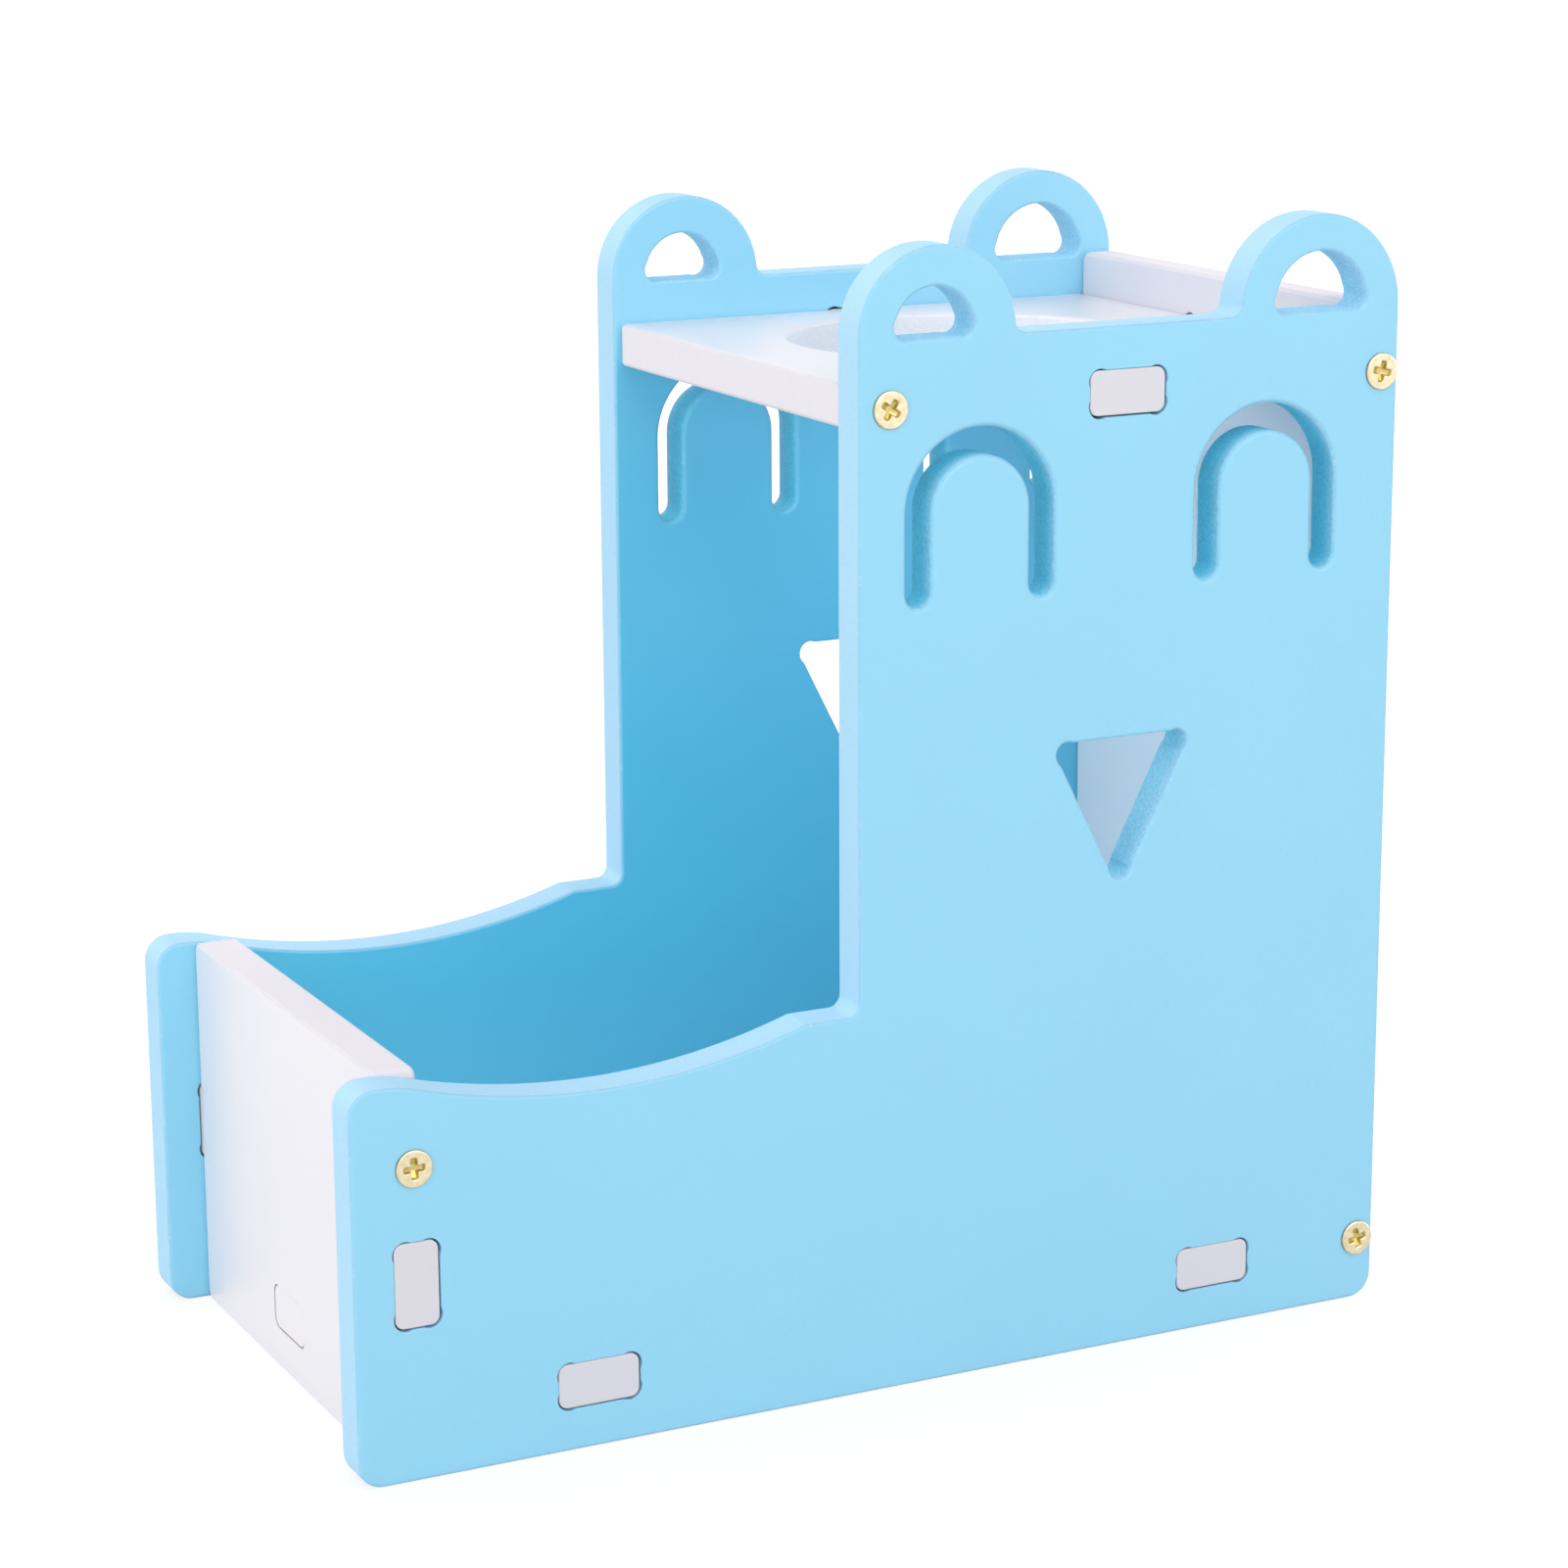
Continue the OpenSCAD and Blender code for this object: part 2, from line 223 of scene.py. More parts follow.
def countersink(thick, sink):
    """Profile of a screw hole: a cone sink deep and sink wide, then a straight wall."""

    def rows(r):
        return np.array([sink, 0, 0, 0]), np.array([0, sink, thick / 2, thick])

    return Profile(rows, np.radians([45, 60, 90, 90]), np.array([0.0, 1.0, 1.0, 0.0]))


sample = np.round(soft_edge(6).rows(0.5), 2)
print("edge profile of a 6 mm board, inset and depth:", sample.tolist())

# %% Carry a profile round a path
CHORD = 0.006  # mm that an arc may stand off its chords


def carry(stations, profile, soft):
    """Carries an edge profile round a closed path, as a grid of rows by columns.

    Row k of a straight stretch lies inset[k] along its left normal. Row k of an arc about c of
    radius r is c + (r - turn inset[k]) (cos a, sin a), with a stepping evenly between the joints.
    Gives the points (rows, columns, 3) as (u, v, depth), and the outward normals at the start and
    at the end of each column's step: sin(lean) times the path's right normal, cos(lean) upwards.
    """
    sides = stretches(stations)
    inset, depth = profile.rows(soft)
    joints = np.array([[joint(sides[i - 1], s, a) for a in inset] for i, s in enumerate(sides)])
    points, first, last = [], [], []
    for i, s in enumerate(sides):
        start, end = joints[i], joints[(i + 1) % len(sides)]
        if s.turn:
            a, b = (np.arctan2(*(p - s.centre).T[::-1]) for p in (start, end))
            sweep = s.turn * ((s.turn * (b - a)) % (2 * np.pi))
            steps = max(2, math.ceil(abs(sweep).max() * math.sqrt(s.radius / (8 * CHORD))))
            angle = a[:, None] + sweep[:, None] * np.arange(steps + 1) / steps
            ray = np.stack([np.cos(angle), np.sin(angle)], -1)
            flat = s.centre + (s.radius - s.turn * inset)[:, None, None] * ray
            out = s.turn * ray
        else:
            flat = np.stack([start, end], 1)
            along = s.end - s.start
            out = np.broadcast_to(np.array([along[1], -along[0]]) / np.hypot(*along), flat.shape)
        deep = np.repeat(depth[:, None], flat.shape[1] - 1, 1)
        points.append(np.concatenate([flat[:, :-1], deep[..., None]], -1))
        first.append(out[:, :-1])
        last.append(out[:, 1:])

    def leaning(parts):
        out = np.concatenate(parts, 1) * np.sin(profile.lean)[:, None, None]
        up = np.broadcast_to(np.cos(profile.lean)[:, None, None], out.shape[:2] + (1,))
        return np.concatenate([out, up], -1)

    return np.concatenate(points, 1), leaning(first), leaning(last)


square = [(0, 0), (9, 0), (9, 9), (0, 9)]
print("carried round a square:", carry(square, soft_edge(6), 0.5)[0].shape)

# %% [markdown]
# ## Step 5: from carried edges to a closed board
#
# A board is a few closed edges, one round its outline and one round each cut-out, and two flat
# faces that span between them. The grids of the edges come straight from the arrays. The flat
# faces are filled with triangles between the rims, because no grid can follow that many holes.
# The normals are given to Blender as well, so that the flat faces shade flat up to the rounds.

# %% Close a shell
Place = namedtuple("Place", "corner right up out")


def filled(rims):
    """Triangles that fill the outline rims[0] around the holes rims[1:], as point numbers.

    A triangle with a negative area, (b - a) x (c - a), is turned round.
    """
    spot = np.concatenate(rims)
    tris = np.array(tessellate_polygon([np.pad(r, ((0, 0), (0, 1))).tolist() for r in rims]))
    a, b, c = (spot[tris[:, k]] for k in range(3))
    area = (b - a)[:, 0] * (c - a)[:, 1] - (b - a)[:, 1] * (c - a)[:, 0]
    return np.where(area[:, None] < 0, tris[:, ::-1], tris)


def shell(rounds, place):
    """Makes one closed shell of carried edges and two filled faces: points, quads, triangles, the
    normals of their corners, and how much of each point is cut.

    rounds are (stations, profile, soft radius), the outline first. A point (u, v, depth) goes to
    corner + u right + v up - depth out. If right, up and out are left-handed, as on a mirrored
    board, every face is turned round so that it still looks outwards.
    """
    points, quads, normals, routed, rims = [], [], [], [], []
    count = 0
    for stations, profile, soft in rounds:
        grid, first, last = carry(stations, profile, soft)
        number = count + np.arange(grid[..., 0].size).reshape(grid.shape[:2])
        after = np.roll(number, -1, 1)
        quads.append(np.stack([number[:-1], number[1:], after[1:], after[:-1]], -1).reshape(-1, 4))
        normals.append(np.stack([first[:-1], first[1:], last[1:], last[:-1]], 2).reshape(-1, 4, 3))
        routed.append(np.repeat(profile.routed, grid.shape[1]))
        points.append(grid.reshape(-1, 3))
        rims.append((grid[0, :, :2], number[0], grid[-1, :, :2], number[-1]))
        count += number.size
    points, quads, normals, routed = (np.concatenate(x) for x in (points, quads, normals, routed))
    top = np.concatenate([r[1] for r in rims])[filled([r[0] for r in rims])]
    bottom = np.concatenate([r[3] for r in rims])[filled([r[2] for r in rims])][:, ::-1]
    flat = np.repeat([[[0, 0, 1.0]] * 3, [[0, 0, -1.0]] * 3], [len(top), len(bottom)], 0)
    tris = np.concatenate([top, bottom])
    axes = np.array([place.right, place.up, place.out], float)
    if np.linalg.det(axes) < 0:
        quads, tris, normals = quads[:, ::-1], tris[:, ::-1], normals[:, ::-1]
    spots = np.array(place.corner) + MM * (points * [1, 1, -1]) @ axes
    return spots, quads, tris, normals @ axes, flat @ axes, routed


sample_place = Place((0, 0, 0), (1, 0, 0), (0, 1, 0), (0, 0, 1))
print("a square board:", len(shell([(square, soft_edge(6), 0.5)], sample_place)[0]), "points")


# %% Put a piece in the place of a solid
def put_piece(name, node, spots, faces, marks):
    """Makes a smooth mesh and puts it in the place of a CAD node. marks are named values, one for
    each point, which the finishes read."""
    mesh = bpy.data.meshes.new(name)
    mesh.from_pydata(spots.tolist(), [], faces)
    mesh.polygons.foreach_set("use_smooth", np.ones(len(mesh.polygons), bool))
    for label, values in marks.items():
        attribute = mesh.attributes.new(label, "FLOAT", "POINT")
        attribute.data.foreach_set("value", values.astype(np.float32))
    piece = bpy.data.objects.new(name, mesh)
    bpy.context.scene.collection.objects.link(piece)
    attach(piece, "root")
    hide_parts(node)
    print(f"{name}: {len(mesh.vertices)} points, {len(mesh.polygons)} faces")
    return piece


def board(name, node, shells):
    """Puts shells together as one piece in the place of a CAD node. shells are (rounds, place)."""
    made = [shell(*each) for each in shells]
    begin = np.cumsum([0] + [len(m[0]) for m in made])
    spots = np.concatenate([m[0] for m in made])
    faces = [(m[k] + b).tolist() for k in (1, 2) for m, b in zip(made, begin)]
    normals = [m[k].reshape(-1, 3) for k in (3, 4) for m in made]
    marks = {"routed": np.concatenate([m[5] for m in made])}
    piece = put_piece(name, node, spots, sum(faces, []), marks)
    piece.data.normals_split_custom_set(np.concatenate(normals).tolist())
    return piece


# %% [markdown]
# ## Step 6: the blue side boards
#
# Each side is one board: the trough wall with its scooped top, and the tower with two ears. It is
# seen from the right, with u running back from the front edge and z up from the ground. The router
# bit leaves its own radius in every inside corner. The path starts at the foot of the rear edge
# and runs up over the ears, along the rail between them, down the tower and over the scoop.

# %% Outline of a side board
BIT = 1.75  # radius of the router bit
LENGTH, RAIL, WALL, TOWER = 155.0, 142.5, 53.3, 72.0  # length, two heights, the tower's front edge
CORNER = 3.5  # radius of the outer corners
EAR_RISE, EARS = 0.4, {"front": (83.6, 11.6), "rear": (142.35, 12.65)}  # rise; place and radius
SCOOP_FROM, SCOOP_TO, SCOOP_DEPTH, SCOOP_EASE = 7.0, 64.2, 4.5, 17.0  # ends, depth, crest's radius


def ear_foot(radius):
    """Where the bit sits in an ear's foot: how far out, and its angle from the ear's centre.

    The bit rests on the rail and touches the ear, so the two centres are radius + BIT apart.
    """
    rise = BIT - EAR_RISE
    out = math.sqrt((radius + BIT) ** 2 - rise**2)
    return out, math.degrees(math.atan2(rise, out))


def side_outline():
    """Stations of the side board. The scoop is a circle through both ends of its chord, and a
    smaller circle on the front crest touches it, so that their centres are both radii apart."""
    (front_u, front_r), (rear_u, rear_r) = EARS["front"], EARS["rear"]
    (front_out, front_lean), (rear_out, rear_lean) = ear_foot(front_r), ear_foot(rear_r)
    half = (SCOOP_TO - SCOOP_FROM) / 2
    scoop_r = (half**2 + SCOOP_DEPTH**2) / (2 * SCOOP_DEPTH)
    scoop_u, scoop_z = SCOOP_FROM + half, WALL - SCOOP_DEPTH + scoop_r
    run = math.sqrt(SCOOP_DEPTH * (2 * (scoop_r + SCOOP_EASE) - SCOOP_DEPTH))
    crest = math.degrees(math.acos(run / (scoop_r + SCOOP_EASE)))
    edge = math.degrees(math.asin(half / scoop_r))
    return [
        (LENGTH - CORNER, CORNER, CORNER, -90, 0),
        (rear_u, RAIL + EAR_RISE, rear_r, 0, 180 - rear_lean),
        (rear_u - rear_out, RAIL + BIT, BIT, -rear_lean, -90),
        (front_u + front_out, RAIL + BIT, BIT, -90, front_lean - 180),
        (front_u, RAIL + EAR_RISE, front_r, front_lean, 180),
        (TOWER - BIT, WALL + BIT, BIT, 0, -90),
        (scoop_u, scoop_z, scoop_r, edge - 90, crest - 180),
        (scoop_u - run, WALL - SCOOP_EASE, SCOOP_EASE, crest, 90),
        (CORNER, WALL - CORNER, CORNER, 90, 180),
        (CORNER, CORNER, CORNER, 180, 270),
    ]


side_path = stretches(side_outline())
print("side outline:", len(side_outline()), "arcs and", len(side_path), "stretches")

# %% [markdown]
# The cut-outs run clockwise, which keeps the board on their left. In the corners of a tenon slot
# the bit runs a little past the sides, so that the tenon fits: what this leaves shows as small dark
# nicks. The arched slots and the triangle are open decoration, and so are the half round holes in
# the ears.

# %% Cut-outs of a side board
EAR_OVER, SLOT_OVER, WINDOW_OVER = 0.1, 0.2, 0.35  # how far the bit runs past the sides of each


def slot(u, z, long, high):
    """Tenon slot about (u, z): the bit's circle in each corner, cut short by the two sides that it
    crosses. A side lies inset from the circle's centre, so it crosses at acos(inset / BIT)."""
    inset = BIT - SLOT_OVER
    open_by = math.degrees(math.acos(inset / BIT))
    along, up = long / 2 - inset, high / 2 - inset
    return [
        (u + a * along, z + b * up, BIT, turn + 90 + open_by, turn - open_by)
        for a, b, turn in [(1, 1, 0), (1, -1, -90), (-1, -1, -180), (-1, 1, -270)]
    ]


def arch(u, z, radius=11.1, wide=3.7, leg=10.3):
    """Arched slot: half a ring about (u, z) on two straight legs with round ends."""
    mid = radius - wide / 2
    return [
        (u, z, radius, 180, 0),
        (u + mid, z - leg, wide / 2, 0, -180),
        (u, z, radius - wide, 0, 180),
        (u - mid, z - leg, wide / 2, 0, -180),
    ]


def window(u, z, wide=22.0, high=21.6):
    """Triangle, tip down, its top edge's middle at (u, z). The bit's centre lies on each corner's
    bisector, BIT / sin(half angle) from the corner and less by the overrun."""
    top = math.atan2(high, wide / 2) / 2
    found = []
    for corner, half, middle in (
        ((wide / 2, 0), top, math.degrees(-math.pi + top)),
        ((0, -high), math.pi / 2 - 2 * top, 90),
        ((-wide / 2, 0), top, math.degrees(-top)),
    ):
        back = BIT / math.sin(half) - WINDOW_OVER
        open_by = math.degrees(math.acos(back * math.sin(half) / BIT))
        reach = 90 - math.degrees(half) + open_by
        centre = ring_point(u + corner[0], z + corner[1], back, middle)
        found.append((*centre, BIT, middle + 180 + reach, middle + 180 - reach))
    return found


print("arcs: arched slot", len(arch(0, 0)), "and window", len(window(0, 0)))

# %% Ear holes and screw holes
HOLE_RISE, EAR_HOLES = 0.8, {"front": (83.15, 5.9), "rear": (142.35, 7.3)}  # rise; place and radius


def ear_hole(u, radius):
    """Half-round hole with a sill level with the rail, and the bit's circle in both lower corners.

    The bit stands EAR_OVER past the sill and past the round top. Its centre is reach away from the
    top's centre, and the law of cosines gives the angles at which the two circles cross.
    """
    low = BIT - EAR_OVER
    reach, lift = radius - low, low - HOLE_RISE
    out = math.sqrt(reach**2 - lift**2)
    lean = math.degrees(math.atan2(lift, out))
    at_top = math.degrees(math.acos((reach**2 + radius**2 - BIT**2) / (2 * reach * radius)))
    at_bit = math.degrees(math.acos((radius**2 - reach**2 - BIT**2) / (2 * reach * BIT)))
    sill = math.degrees(math.acos(low / BIT))
    return [
        (u, RAIL + HOLE_RISE, radius, 180 - lean - at_top, lean + at_top),
        (u + out, RAIL + low, BIT, lean + at_bit, -90 - sill),
        (u - out, RAIL + low, BIT, sill - 90, -180 - lean - at_bit),
    ]


def round_hole(u, z, radius):
    """A circle about (u, z), run clockwise in two halves."""
    return [(u, z, radius, 180, 0), (u, z, radius, 0, -180)]


print("ear holes:", [np.round(ear_hole(*hole)[1], 2).tolist() for hole in EAR_HOLES.values()])

# %% [markdown]
# The right and the left board are cut from the same path. The left one looks the other way, so its
# outward direction is turned to -X and its faces are turned round. A Mirror modifier would do this
# too, but it would bring a second half that would then have to be applied.

# %% Places on a side board
THICK, TENON, PLAY = 6.0, 11.4, 0.15  # board, tenon along its edge, play of a tenon on each side
SLOT_LONG, SLOT_HIGH = TENON + 2 * PLAY, THICK + 2 * PLAY
SNUG = {"right": (0.12, -0.1), "left": (-0.04, 0.06)}  # slots off their tenons: back and up
FACE_U, EYE_OUT, EYE_Z, WINDOW_Z = 112.1, 22.0, 119.5, 86.9  # centre line, arches, window
FLOOR_Z, SHELF_Z, FRONT_U, FRONT_Z = 9.0, 133.7, 8.6, 26.65  # middles of the cross boards
FLOOR_TENONS = (33.65, 127.95)
BACK_SCREW_U, FRONT_SCREW_Z = 152.3, 42.2
SCREWS = {  # place and height on the side board, and the turn of the cross recess in degrees
    "shelf": (76.6, SHELF_Z, 57),
    "back_upper": (BACK_SCREW_U, SHELF_Z, 77),
    "back_lower": (BACK_SCREW_U, FLOOR_Z, 14),
    "front": (FRONT_U, FRONT_SCREW_Z, 3),
}
side_faces = {}  # the outer face of each side board, from its front foot
for side, out in (("right", 1), ("left", -1)):
    low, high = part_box(f"{side}_side_board")
    foot = (high.x if out > 0 else low.x, low.y, low.z)
    side_faces[side] = Place(foot, (0, 1, 0), (0, 0, 1), (out, 0, 0))
print("side faces at x in mm:", [round(face.corner[0] / MM, 2) for face in side_faces.values()])

# %% Side boards
SOFT_OUTLINE, SOFT_ARCH, SOFT_CUT, SOFT_SLOT = 0.5, 0.7, 0.45, 0.12  # radii of the worn edges
PILOT_R, SINK = 1.55, 0.55  # screw hole, and the depth of its countersink


def side_rounds(side):
    """Every round of a side board: outline, decoration, tenon slots and screw holes.

    The foam is crushed under a screw head, so the countersink stays just inside the head's rim.
    """
    inner = soft_edge(THICK, hole=True)
    arches = [arch(FACE_U - EYE_OUT, EYE_Z), arch(FACE_U + EYE_OUT, EYE_Z)]
    cuts = [window(FACE_U, WINDOW_Z)] + [ear_hole(*hole) for hole in EAR_HOLES.values()]
    back, up = SNUG[side]
    slots = [slot(u + back, FLOOR_Z + up, SLOT_LONG, SLOT_HIGH) for u in FLOOR_TENONS]
    slots.append(slot(FACE_U + back, SHELF_Z + up, SLOT_LONG, SLOT_HIGH))
    slots.append(slot(FRONT_U + back, FRONT_Z + up, SLOT_HIGH, SLOT_LONG))
    holes = [round_hole(u, z, PILOT_R) for u, z, _ in SCREWS.values()]
    return (
        [(side_outline(), soft_edge(THICK), SOFT_OUTLINE)]
        + [(cut, inner, SOFT_ARCH) for cut in arches]
        + [(cut, inner, SOFT_CUT) for cut in cuts]
        + [(cut, inner, SOFT_SLOT) for cut in slots]
        + [(hole, countersink(THICK, SINK), 0) for hole in holes]
    )


blue_boards = [
    board(f"blue_side_{side}", f"{side}_side_board", [(side_rounds(side), place)])
    for side, place in side_faces.items()
]

# %% [markdown]
# ## Step 7: the white cross boards
#
# Floor, front, back and shelf are white board. Their tenons come through the blue sides, flush with
# them, and fill the slots except for a thin dark gap. A hand-built stand is never centred in its
# slots, so the slots above sit a tenth of a millimetre off their tenons, on each side board in its
# own direction, and the gap is wider there. The tenons have round long edges and a square end, so
# each is a small shell of its own, drawn from its end. Boxes would fill the same space, but they
# would lack the soft edges and these gaps.

# %% Plates and tenons
TENON_R, NOSE_R = 1.2, 1.5  # round long edges of the tenons and of the front one, the nose
SOFT_WHITE, SOFT_TENON, SOFT_NOSE = 0.6, 0.12, 0.03


def plate(wide, high, radius, x=0.0, z=0.0):
    """Stations of a rectangle about (x, z) with round corners, anticlockwise."""
    a, b = wide / 2 - radius, high / 2 - radius
    corners = ((1, -1, -90), (1, 1, 0), (-1, 1, 90), (-1, -1, 180))
    return [(x + i * a, z + j * b, radius, turn, turn + 90) for i, j, turn in corners]


def as_hole(stations):
    """The same round run clockwise: arcs in reverse order, each from last angle to first."""
    return [(x, z, radius, last, first) for x, z, radius, first, last in reversed(stations)]


def tenon_shell(place, thick, stations, soft=SOFT_TENON):
    """A tenon as a shell: its end lies in the place's face and it reaches thick into the board."""
    return [(stations, soft_edge(thick), soft)], place


def side_tenons(wide, high, u, z):
    """The two ends of a cross board's tenon, in the right and in the left side board."""
    outline = plate(wide, high, TENON_R, u, z)
    return [tenon_shell(place, THICK, outline) for place in side_faces.values()]


print("tenons:", len(side_tenons(TENON, THICK, 0, 0)), "shells for each pair of side tenons")

# %% Floor and shelf
HALF, BACK_U, BACK_THICK, WHITE_R = 35.0, 150.0, 5.0, 1.5  # half width, back board, corner radius
FLOOR_FRONT, SHELF_FRONT = 11.6, 72.8  # where the level boards begin
BOTTLE_U, BOTTLE_R = 110.2, 25.0  # the bottle hole
NOSE_TRIM = 0.2  # taken off the nose on its left
front_edge_y = side_faces["right"].corner[1]  # u is counted from here
front_face = Place((0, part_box("front_board")[0].y, 0), (1, 0, 0), (0, 0, 1), (0, -1, 0))
rear_face = Place((0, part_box("back_board")[1].y, 0), (-1, 0, 0), (0, 0, 1), (0, 1, 0))


def level_board(node, front, holes):
    """A level board from u = front to the back board, seen from above, and its rear tenon."""
    low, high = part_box(node)
    top = Place((0, front_edge_y, high.z), (1, 0, 0), (0, 1, 0), (0, 0, 1))
    outline = plate(2 * HALF, BACK_U - front, WHITE_R, 0, (front + BACK_U) / 2)
    rounds = [(outline, soft_edge(THICK), SOFT_WHITE)]
    rounds += [(hole, soft_edge(THICK, hole=True), SOFT_WHITE) for hole in holes]
    rear = plate(TENON, THICK, TENON_R, 0, (low.z + high.z) / 2 / MM)
    return [(rounds, top), tenon_shell(rear_face, BACK_THICK, rear)]


floor_shells = level_board("floor_board", FLOOR_FRONT, [])
for u in FLOOR_TENONS:
    floor_shells += side_tenons(TENON, THICK, u, FLOOR_Z)
nose = plate(TENON - NOSE_TRIM, THICK, NOSE_R, NOSE_TRIM / 2, FLOOR_Z)
floor_shells.append(tenon_shell(front_face, THICK, nose, SOFT_NOSE))
shelf_shells = level_board("bottle_shelf", SHELF_FRONT, [round_hole(0, BOTTLE_U, BOTTLE_R)])
shelf_shells += side_tenons(TENON, THICK, FACE_U, SHELF_Z)
white_boards = [
    board("white_floor", "floor_board", floor_shells),
    board("white_shelf", "bottle_shelf", shelf_shells),
]

# %% [markdown]
# The front and back boards stand upright and are drawn as seen from the front. The floor's front
# tenon shows in the front board as a nose, with a thin gap along its left side and below it.

# %% Front and back
NOSE_GAP = 0.14  # how far the nose's slot sits off the nose, to the left and down
BACK_HIGH = 143.0
nose_hole = as_hole(plate(SLOT_LONG, SLOT_HIGH, NOSE_R, -NOSE_GAP, FLOOR_Z - NOSE_GAP))
front_rounds = [
    (plate(2 * HALF, WALL, WHITE_R, 0, WALL / 2), soft_edge(THICK), SOFT_WHITE),
    (nose_hole, soft_edge(THICK), SOFT_NOSE),
]
front_shells = [(front_rounds, front_face)] + side_tenons(THICK, TENON, FRONT_U, FRONT_Z)
back_face = Place((0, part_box("back_board")[0].y, 0), *front_face[1:])
back_outline = plate(2 * HALF, BACK_HIGH, WHITE_R, 0, BACK_HIGH / 2)
back_slots = [slot(0, z, SLOT_LONG, SLOT_HIGH) for z in (FLOOR_Z, SHELF_Z)]
back_rounds = [(back_outline, soft_edge(BACK_THICK), SOFT_WHITE)]
back_rounds += [(cut, soft_edge(BACK_THICK, hole=True), SOFT_SLOT) for cut in back_slots]
white_boards += [
    board("white_front", "front_board", front_shells),
    board("white_back", "back_board", [(back_rounds, back_face)]),
]

# %% [markdown]
# ## Step 8: the screws
#
# Four small countersunk screws hold each side. Their heads stand a third of a millimetre proud and
# have a cross recess. The recess could be cut with a Boolean, which leaves slivers on so small a
# head. Here the head is a round grid instead, and the recess is a depth taken off its height.

# %% Rows of a screw
HEAD_R, HEAD_RIM, RIM_ROUND = 2.5, 0.35, 0.22  # radius, height over the board, round of its rim
THREAD_R, ROOT_R, PITCH, SCREW_LONG = 1.5, 1.1, 1.2, 16.0
THREAD_FROM, THREAD_TO, THREAD_STEP = -1.12, -13.0, 0.12  # heights of the thread's rows
FLAT_ROWS, RIM_ROWS, CONE_ROWS, POINT_ROWS = 44, 6, 5, 6


def screw_rows():
    """Radius and height of each row, from the middle of the head down to the point.

    The flat of the head, a quarter round at its rim, the sunk cone, the thread and the point.
    """
    t = np.linspace(0, np.pi / 2, RIM_ROWS)
    flat = np.linspace(0, HEAD_R - RIM_ROUND, FLAT_ROWS)[1:-1]
    rim = HEAD_R - RIM_ROUND * (1 - np.sin(t)), HEAD_RIM - RIM_ROUND * (1 - np.cos(t))
    cone = np.linspace(HEAD_R, THREAD_R, CONE_ROWS)
    thread = np.arange(THREAD_FROM, THREAD_TO, -THREAD_STEP)
    point = np.linspace(THREAD_TO, -SCREW_LONG, POINT_ROWS)[:-1]
    taper = ROOT_R * (point + SCREW_LONG) / (THREAD_TO + SCREW_LONG)
    radius = [flat, rim[0], cone, np.full(thread.size, THREAD_R), taper]
    height = [np.full(flat.size, HEAD_RIM), rim[1], cone - HEAD_R, thread, point]
    return np.concatenate(radius), np.concatenate(height)


print("screw:", len(screw_rows()[0]), "rows")

# %% Recess and thread of a screw
COLUMNS = 96
ARM_WIDE, RECESS_R, RECESS_DEEP, ARM_SOFT, ARM_END = 0.85, 1.55, 0.9, 0.08, 0.3
ARM_STEP = 0.4  # share of the recess's depth at the end of an arm
NECK, TAIL = -1.05, -12.95  # heights between which the thread is cut
# Painted shade on the side of the head's rim, standing in for the thin shadow where the head meets
# the board.
RIM_SHADE_FROM, RIM_SHADE_FADE, RIM_SHADE_TO = 0.08, 0.15, -0.4  # dull side of the rim: below its top, fade, end


def screw_surface(turn):
    """Points of a screw on its own axis, how deep each lies in the recess, and how far down the
    side of the rim, both from 0 to 1.

    The recess lies inside arms where the smaller of |x| and |y| is under half their width. From
    RECESS_R inwards it drops to ARM_STEP of its depth over ARM_END, and slopes on to its full
    depth half an arm's width from the axis. The thread is a ridge that rises and falls once in
    each turn of angle / 360 degrees + height / pitch.
    """
    radius, height = screw_rows()
    angle = np.arange(COLUMNS) * 2 * np.pi / COLUMNS
    r, z = (np.repeat(v[:, None], COLUMNS, 1) for v in (radius, height))
    on_thread = ((z < NECK) & (z > TAIL)).astype(float)
    ridge = 2 * np.abs((angle / (2 * np.pi) + z / PITCH) % 1 - 0.5)
    r = r - on_thread * (THREAD_R - ROOT_R) * (1 - ridge) * np.clip((z - NECK) / -PITCH, 0, 1)
    across = np.minimum(np.abs(r * np.cos(angle - turn)), np.abs(r * np.sin(angle - turn)))
    arm = np.clip((ARM_WIDE / 2 + ARM_SOFT - across) / (2 * ARM_SOFT), 0, 1)
    fall = np.clip((RECESS_R - r) / (RECESS_R - ARM_WIDE / 2), 0, 1)
    fall = (ARM_STEP + (1 - ARM_STEP) * fall) * np.clip((RECESS_R - r) / ARM_END, 0, 1)
    deep = arm**2 * (3 - 2 * arm) * fall * (z > 0)
    # How far the painted rim shade reaches: from just below the top of the rim down past the board's
    # face.
    painted_rim_shade = np.clip((HEAD_RIM - RIM_SHADE_FROM - z) / RIM_SHADE_FADE, 0, 1) * (z > RIM_SHADE_TO)
    z = z - RECESS_DEEP * deep
    grid = np.stack([r * np.cos(angle), r * np.sin(angle), z], -1).reshape(-1, 3)
    ends = [[0, 0, HEAD_RIM - RECESS_DEEP], [0, 0, -SCREW_LONG]]
    return np.concatenate([grid, ends]), np.append(deep, [1, 0]), np.append(painted_rim_shade, [0, 0])


print("recess floor at", round(HEAD_RIM - RECESS_DEEP, 2), "mm from the board's face")


